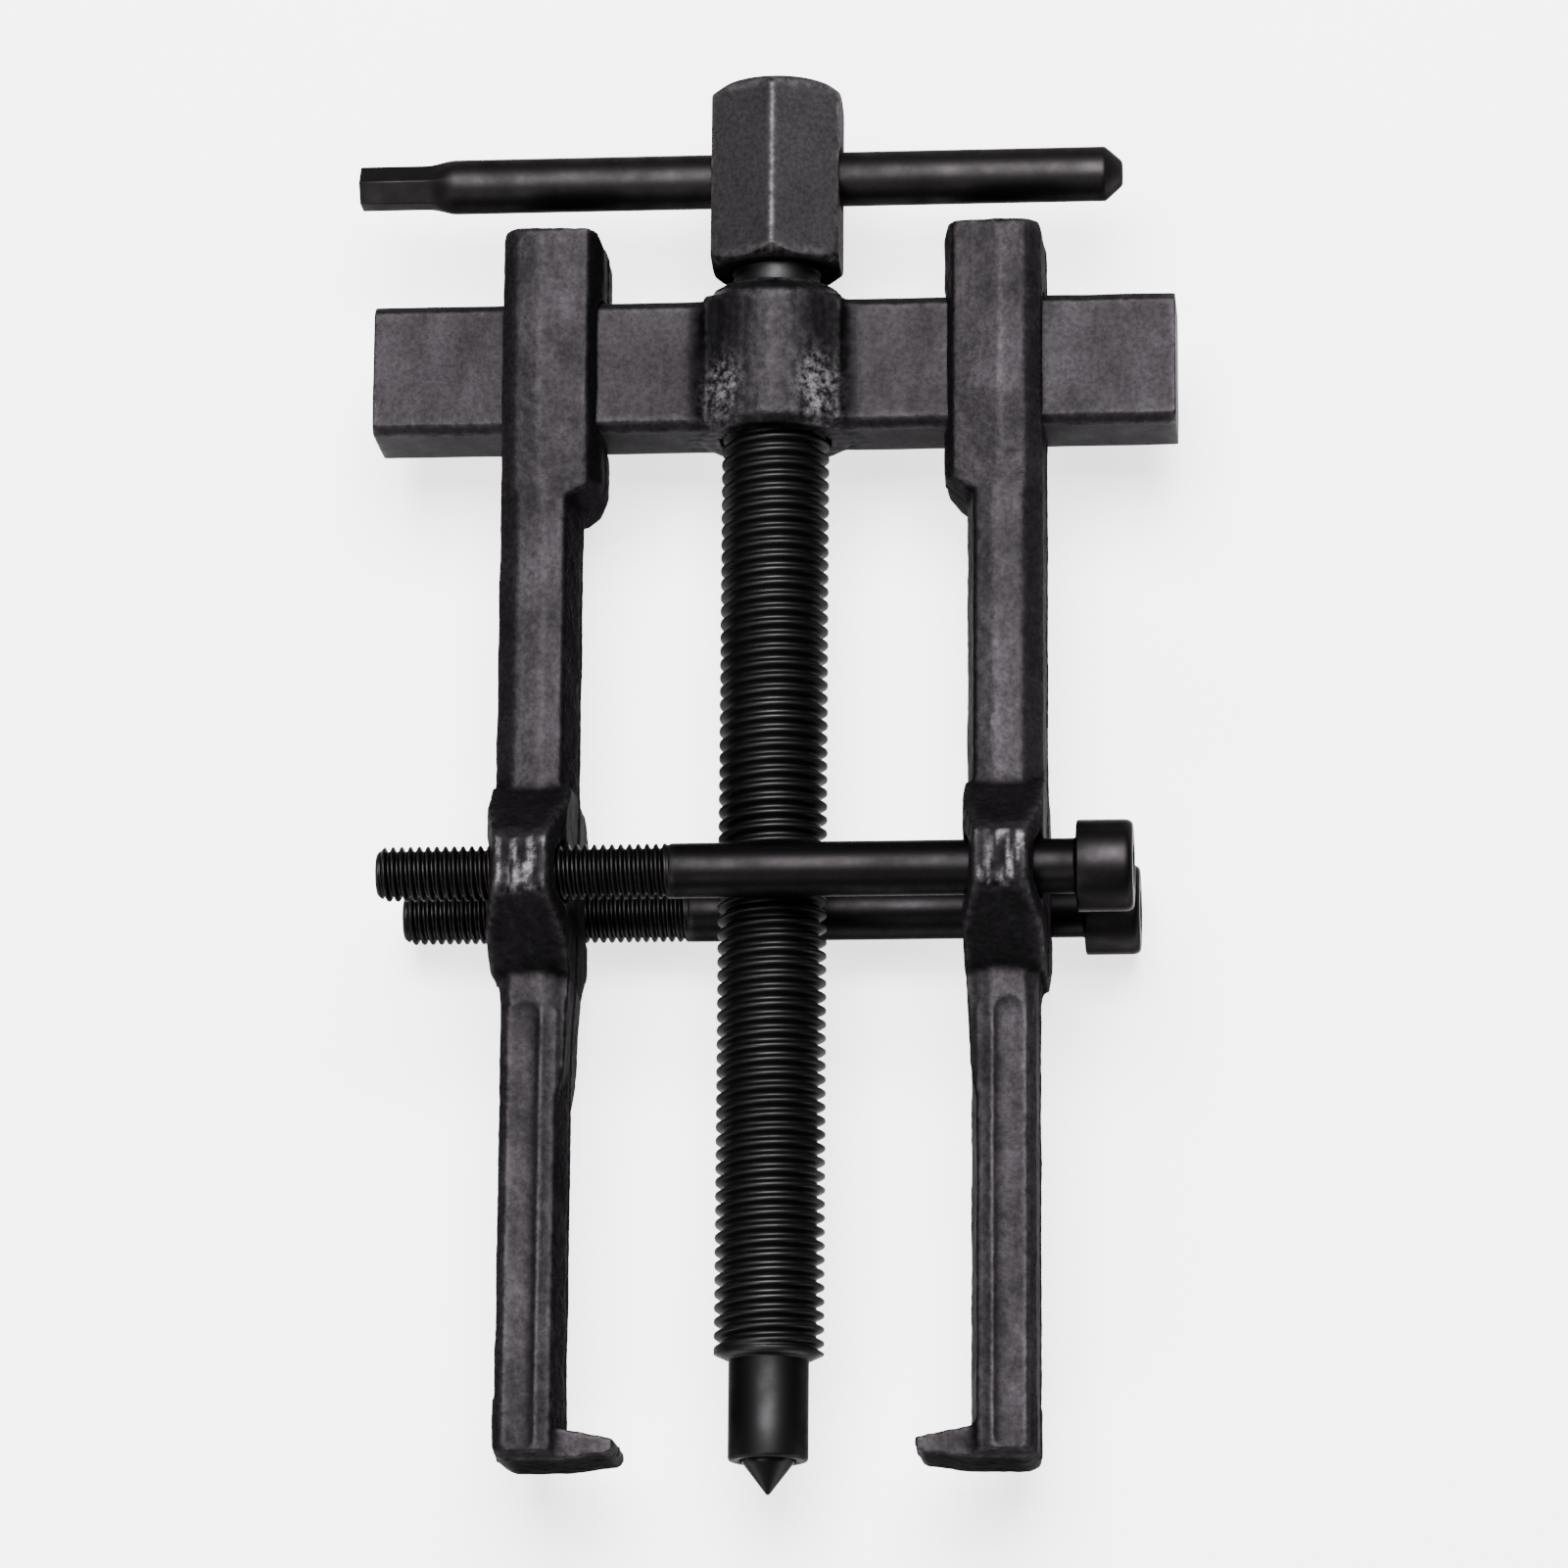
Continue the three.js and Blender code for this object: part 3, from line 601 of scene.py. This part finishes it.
angle = np.arange(SCREW_COLUMNS) / SCREW_COLUMNS * 2 * np.pi
thread_along, thread_r = thread_rows(
    thread_low + 0.9 * MM, thread_high, PITCH, CREST, DEPTH, SCREW_COLUMNS, 0.7 * MM, 1.5 * MM
)
nose_block = ring_rows(
    [
        (nose_face + 9 * MM, 0),
        (nose_face + 9 * MM, POINT_BORE - 0.2 * MM),
        (nose_face + 8.8 * MM, POINT_BORE),
        (nose_face + 0.4 * MM, POINT_BORE),
        (nose_face + 0.1 * MM, POINT_BORE + 0.15 * MM),
        (nose_face, POINT_BORE + 0.4 * MM),
        (nose_face, NOSE - 0.45 * MM),
        (nose_face + 0.12 * MM, NOSE - 0.12 * MM),
        (nose_face + 0.45 * MM, NOSE),
        (nose_face + 5 * MM, NOSE),
        (nose_face + 10 * MM, NOSE),
        (thread_low - 0.2 * MM, NOSE),
        (thread_low, NOSE + 0.05 * MM),
        (thread_low + 0.05 * MM, NOSE + 0.3 * MM),
    ],
    SCREW_COLUMNS,
)
neck_block = ring_rows(
    [
        (thread_high + 0.3 * MM, CREST - 0.3 * MM),
        (thread_high + 1.2 * MM, NECK + 0.2 * MM),
        (thread_high + 1.5 * MM, NECK),
        (hex_bottom - 0.5 * MM, NECK),
        (hex_bottom - 0.1 * MM, NECK + 0.1 * MM),
        (hex_bottom + 0.4 * MM, NECK + 0.4 * MM),
        (hex_bottom + 0.6 * MM, 0),
    ],
    SCREW_COLUMNS,
)
along, radius = stack(nose_block, (thread_along, thread_r), neck_block)
screw_rows = turned_along_y(along, radius, angle)
climb = climbing(len(nose_block[0]), len(thread_along), len(neck_block[0]))
shaft = link("screw_shaft", grid_mesh("screw_shaft", screw_rows, climb))

HEAD_COLUMNS = 480
HEX_FLATS = 18.8 * MM
CORNER_RADIUS = HEX_FLATS / math.sqrt(3)
CHAMFER = 2.0 * MM
END_RADIUS = 8.85 * MM
CHAMFER_SLOPE = 1.25
CORNER_POWER = 60.0
head_angle = np.arange(HEAD_COLUMNS) / HEAD_COLUMNS * 2 * np.pi
edge = np.linspace(0, 1, 22) ** 1.3 * CHAMFER * 1.25
levels = np.concatenate(
    [hex_bottom + edge, np.linspace(hex_bottom + 4 * MM, hex_top - 4 * MM, 9), (hex_top - edge)[::-1]]
)
from_end = np.minimum(levels - hex_bottom, hex_top - levels)
cone = END_RADIUS + from_end * CHAMFER_SLOPE
flat_radius = rounded_hexagon(head_angle, HEX_FLATS)
both = flat_radius[None, :] ** -CORNER_POWER + cone[:, None] ** -CORNER_POWER
head_radius = both ** (-1 / CORNER_POWER)
cap = np.array([0.0, 0.55, 0.93])[:, None]
bottom_cap = np.repeat(levels[:1], 3)[:, None] + 0 * head_angle, cap * head_radius[:1] + 0 * head_angle
top_cap = np.repeat(levels[-1:], 3)[:, None] + 0 * head_angle, cap[::-1] * head_radius[-1:] + 0 * head_angle
body = np.repeat(levels[:, None], HEAD_COLUMNS, axis=1), head_radius
along, radius = stack(bottom_cap, body, top_cap)
head_rows = np.stack(
    [AXIS_X + radius * np.cos(head_angle), along, AXIS_Z + radius * np.sin(head_angle)], axis=-1
)
head = link("screw_head", grid_mesh("screw_head", head_rows))

handle_low, handle_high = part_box("sliding_handle")
HANDLE_Y = (handle_low.y + handle_high.y) / 2
HANDLE_RADIUS = (handle_high.y - handle_low.y) / 2
HOLE_RADIUS = HANDLE_RADIUS + 0.3 * MM
HOLE_COLUMNS = 96
hole_angle = np.arange(HOLE_COLUMNS) / HOLE_COLUMNS * 2 * np.pi
mouth = HEX_FLATS / 2
hole_along, hole_r = ring_rows(
    [
        (-mouth - 2 * MM, 0),
        (-mouth - 2 * MM, HOLE_RADIUS + 2.5 * MM),
        (-mouth + 0.5 * MM, HOLE_RADIUS),
        (mouth - 0.5 * MM, HOLE_RADIUS),
        (mouth + 2 * MM, HOLE_RADIUS + 2.5 * MM),
        (mouth + 2 * MM, 0),
    ],
    HOLE_COLUMNS,
)
hole_rows = turned_along_x(AXIS_X + hole_along, hole_r, hole_angle, HANDLE_Y, AXIS_Z)
drill = link("drill", grid_mesh("drill", hole_rows))
cut = head.modifiers.new("cross_hole", "BOOLEAN")
cut.object = drill
cut.solver = "EXACT"
graph = bpy.context.evaluated_depsgraph_get()
drilled = bpy.data.meshes.new_from_object(head.evaluated_get(graph))
head.modifiers.clear()
head.data = drilled
bpy.data.objects.remove(drill)


def black_finish(name, base, rough_low, rough_high, wear_colour, grazing=0.45):
    """Oiled black oxide: near black, satin, with faint blotches and a few bright rubs, and blacker
    where a stored darkening is high."""
    n = Nodes(name)
    blotch = n.noise(160, 4, 0.6)
    fine = n.noise(2600, 3, 0.6)
    tone = n.ramp(blotch, (0.3, [c * 0.7 for c in base]), (0.72, [c * 1.4 for c in base]))
    rubs = n.grey(n.noise(420, 6, 0.75), (0.62, 0.0), (0.78, 0.5))
    tone = n.mix(rubs, tone, (*wear_colour, 1))
    shade_and_tone = n.add("ShaderNodeAttribute", attribute_name="shade_and_tone").outputs["Fac"]
    n.join(n.mix(shade_and_tone, tone, SHADE_AND_TONE_BLACK), "Base Color")
    n.join(n.grey(blotch, (0.3, rough_high), (0.7, rough_low)), "Roughness")
    n.dark_metal(grazing)
    n.join(n.bump(fine, 0.18, 0.00005), "Normal")
    return n.material


screw_black = black_finish("oiled_black_oxide", (0.019, 0.0185, 0.0193), 0.42, 0.54, (0.03, 0.028, 0.03))
head_black = forged_finish("hexagon_black", (0.0335, 0.0305, 0.0335), (0.085, 0.08, 0.083), 0.2, 0.5, 0.62)
for part, finish in ((shaft, screw_black), (head, head_black)):
    part.data.materials.clear()
    part.data.materials.append(finish)
    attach(part, "screw")
shaft_places = read_mesh(shaft.data)[0]
# A darker tone on the plain nose below the thread.
store(shaft.data, "shade_and_tone", (shaft_places[:, 1] < thread_low) * 0.45)
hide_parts("forcing_screw")
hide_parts("forcing_screw")
places, normals = read_mesh(head.data)
place_angle = np.arctan2(places[:, 2] - AXIS_Z, places[:, 0] - AXIS_X)
from_corner = np.abs((place_angle / (np.pi / 3)) % 1.0 - 0.5) * np.pi / 3 * CORNER_RADIUS
from_rim = np.minimum(places[:, 1] - hex_bottom, hex_top - places[:, 1])
rim = np.exp(-(((from_rim - 1.2 * MM) / (0.7 * MM)) ** 2)) * 0.7
outer = np.hypot(places[:, 0] - AXIS_X, places[:, 2] - AXIS_Z) > 0.49 * HEX_FLATS
store(head.data, "wear", np.maximum(np.exp(-((from_corner / (0.45 * MM)) ** 2)) * outer, rim))
# Painted shade: the faces under the head, which turn down towards the neck, are darkened.
store(head.data, "shade_and_tone", (normals[:, 1] < -0.4) * 0.9)

# ---------------------------------------------------------------------------------------------
# Centre point, thrust ball and ring: the point is turned and hardened. The ball and the wire ring
# sit out of sight in the nose, so their CAD solids carry plain bright steel.

point_low, point_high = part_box("centre_point")
cone_base = nose_face - 0.3 * MM
POINT_RADIUS = 3.7 * MM
POINT_COLUMNS = 64
point_angle = np.arange(POINT_COLUMNS) / POINT_COLUMNS * 2 * np.pi
along, radius = ring_rows(
    [
        (point_low.y, 0),
        (point_low.y + 0.03 * MM, 0.12 * MM),
        (point_low.y + 0.2 * MM, 0.32 * MM),
        (cone_base - 0.3 * MM, POINT_RADIUS - 0.3 * MM),
        (cone_base - 0.05 * MM, POINT_RADIUS - 0.08 * MM),
        (cone_base + 0.15 * MM, POINT_RADIUS),
        (cone_base + 5 * MM, POINT_RADIUS),
        (point_high.y - 0.5 * MM, POINT_RADIUS),
        (point_high.y, POINT_RADIUS - 0.5 * MM),
        (point_high.y, 0),
    ],
    POINT_COLUMNS,
)
point_rows = turned_along_y(along, radius, point_angle)
point = link("live_point", grid_mesh("live_point", point_rows))
point.data.materials.append(
    black_finish("hardened_black", (0.012, 0.0115, 0.012), 0.3, 0.4, (0.05, 0.048, 0.05))
)
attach(point, "point")
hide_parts("centre_point")

bright = Nodes("bright_steel")
bright.shader.inputs["Metallic"].default_value = 1.0
bright_tone = bright.ramp(bright.noise(800), (0.3, (0.5, 0.5, 0.52)), (0.7, (0.66, 0.66, 0.68)))
bright.join(bright_tone, "Base Color")
bright.shader.inputs["Roughness"].default_value = 0.18
for node in ("thrust_ball", "point_retaining_ring"):
    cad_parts[node].data.materials.clear()
    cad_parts[node].data.materials.append(bright.material)

# ---------------------------------------------------------------------------------------------
# Sliding handle: a blackened bar, chamfered at the right and milled to a hexagon key at the left,
# where it serves the side bolts. Sliding in the hexagon has polished its middle, which the bar's
# finish does not show.

KEY_FLATS = 5.8 * MM
KEY_LENGTH = 9.7 * MM
KEY_TAPER = 4.4 * MM
BAR_COLUMNS = 144
bar_angle = np.arange(BAR_COLUMNS) / BAR_COLUMNS * 2 * np.pi
key_end = handle_low.x
key_root = key_end + KEY_LENGTH
taper_end = key_root + KEY_TAPER
bar_end = handle_high.x
key_radius = rounded_hexagon(bar_angle, KEY_FLATS, 60)


def bar_row(x, size, hexagonal):
    """One ring of the bar: size times the round radius, blended towards the hexagon by hexagonal."""
    ring = HANDLE_RADIUS * size
    return np.full_like(bar_angle, x), ring * (1 - hexagonal) + key_radius * size * hexagonal


bar_profile = [(key_end, 0.0, 1), (key_end, 0.5, 1), (key_end, 0.93, 1), (key_end + 0.05 * MM, 0.975, 1)]
bar_profile += [(key_end + 0.2 * MM, 1.0, 1), (key_end + 4 * MM, 1.0, 1), (key_root - 0.6 * MM, 1.0, 1)]
for t in np.linspace(0, 1, 9):
    blend = 1 - (3 * t**2 - 2 * t**3)
    bar_profile.append((key_root + (taper_end - key_root) * t, 1.0, blend))
for x in np.linspace(taper_end + 0.6 * MM, bar_end - 3.2 * MM, 24):
    bar_profile.append((x, 1.0, 0))
bar_profile += [(bar_end - 2.7 * MM, 1.0, 0), (bar_end - 2.4 * MM, 0.97, 0)]
bar_profile += [(bar_end - 0.35 * MM, 0.52, 0), (bar_end - 0.08 * MM, 0.44, 0)]
bar_profile += [(bar_end, 0.36, 0), (bar_end, 0, 0)]
bar = [bar_row(*values) for values in bar_profile]
along = np.stack([row[0] for row in bar])
radius = np.stack([row[1] for row in bar])
bar_rows = turned_along_x(along, radius, bar_angle, HANDLE_Y, AXIS_Z)
handle = link("handle_bar", grid_mesh("handle_bar", bar_rows))
handle.data.materials.append(
    black_finish("handle_black", (0.0112, 0.0102, 0.0107), 0.42, 0.54, (0.035, 0.032, 0.035))
)
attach(handle, "handle")
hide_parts("sliding_handle")

# ---------------------------------------------------------------------------------------------
# Side bolts: two M8 socket head screws, half threaded, blackened and oiled. They draw the jaws
# together, one in front of the forcing screw and one behind it.

BOLT_COLUMNS = 72
BOLT_PITCH = 1.25 * MM
BOLT_RADIUS = 3.92 * MM
BOLT_THREAD = 42 * MM
BOLT_DEPTH = 0.7 * MM
BOLT_HEAD = 6.5 * MM
BOLT_HEAD_HEIGHT = 8 * MM
SOCKET_FLATS = 6.1 * MM
bolt_black = black_finish("bolt_black", (0.0126, 0.0115, 0.0123), 0.36, 0.48, (0.03, 0.028, 0.03))


def side_bolt(name, node, body):
    """Turned rows along X: threaded end, plain shank, head with rounded rim, hexagon socket."""
    low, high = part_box(node)
    centre_y, centre_z = (low.y + high.y) / 2, (low.z + high.z) / 2
    thread_end = low.x + BOLT_THREAD
    under_head = high.x - BOLT_HEAD_HEIGHT
    turn = np.arange(BOLT_COLUMNS) / BOLT_COLUMNS * 2 * np.pi
    t_along, t_radius = thread_rows(
        low.x + 0.3 * MM, thread_end, BOLT_PITCH, BOLT_RADIUS, BOLT_DEPTH, BOLT_COLUMNS, 0.2 * MM, 1.6 * MM
    )
    tip = np.clip((t_along - low.x) / (1.1 * MM), 0, 1)
    t_radius = np.minimum(t_radius, BOLT_RADIUS - 0.85 * MM * (1 - tip))
    start = ring_rows([(low.x, 0), (low.x, 1.6 * MM), (low.x, 3.0 * MM)], BOLT_COLUMNS)
    socket = rounded_hexagon(turn, SOCKET_FLATS, 60)
    shank = ring_rows(
        [
            (thread_end + 0.8 * MM, BOLT_RADIUS),
            (thread_end + 14 * MM, BOLT_RADIUS),
            (under_head - 14 * MM, BOLT_RADIUS),
            (under_head - 0.5 * MM, BOLT_RADIUS),
            (under_head - 0.1 * MM, BOLT_RADIUS + 0.12 * MM),
            (under_head, BOLT_RADIUS + 0.5 * MM),
            (under_head, BOLT_HEAD - 0.35 * MM),
            (under_head + 0.1 * MM, BOLT_HEAD - 0.08 * MM),
            (under_head + 0.35 * MM, BOLT_HEAD),
            (under_head + 2.5 * MM, BOLT_HEAD),
            (high.x - 1.3 * MM, BOLT_HEAD),
            (high.x - 0.75 * MM, BOLT_HEAD - 0.07 * MM),
            (high.x - 0.28 * MM, BOLT_HEAD - 0.3 * MM),
            (high.x - 0.06 * MM, BOLT_HEAD - 0.65 * MM),
            (high.x, BOLT_HEAD - 1.1 * MM),
        ],
        BOLT_COLUMNS,
    )
    inside = [(high.x, 1.06), (high.x - 0.08 * MM, 1.015), (high.x - 0.3 * MM, 1.0)]
    inside += [(high.x - 4.7 * MM, 1.0), (high.x - 4.9 * MM, 0.97)]
    inside += [(high.x - 4.9 * MM, 0.9), (high.x - 5.0 * MM, 0.0)]
    socket_along = np.stack([np.full(BOLT_COLUMNS, x) for x, _ in inside])
    socket_radius = np.stack([socket * size for _, size in inside])
    along, radius = stack(start, (t_along, t_radius), shank, (socket_along, socket_radius))
    rows = turned_along_x(along, radius, turn, centre_y, centre_z)
    climb = climbing(len(start[0]), len(t_along), len(shank[0]) + len(socket_along))
    piece = link(name, grid_mesh(name, rows, climb))
    places = read_mesh(piece.data)[0]
    plain = places[:, 0] > thread_end
    # A darker tone on the plain shank and on the head than on the thread.
    store(piece.data, "shade_and_tone", np.where(places[:, 0] > under_head - 0.1 * MM, 0.33, plain * 0.48))
    piece.data.materials.append(bolt_black)
    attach(piece, body)
    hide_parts(node)


side_bolt("front_socket_bolt", "front_side_bolt", "front_bolt")
side_bolt("rear_socket_bolt", "rear_side_bolt", "rear_bolt")
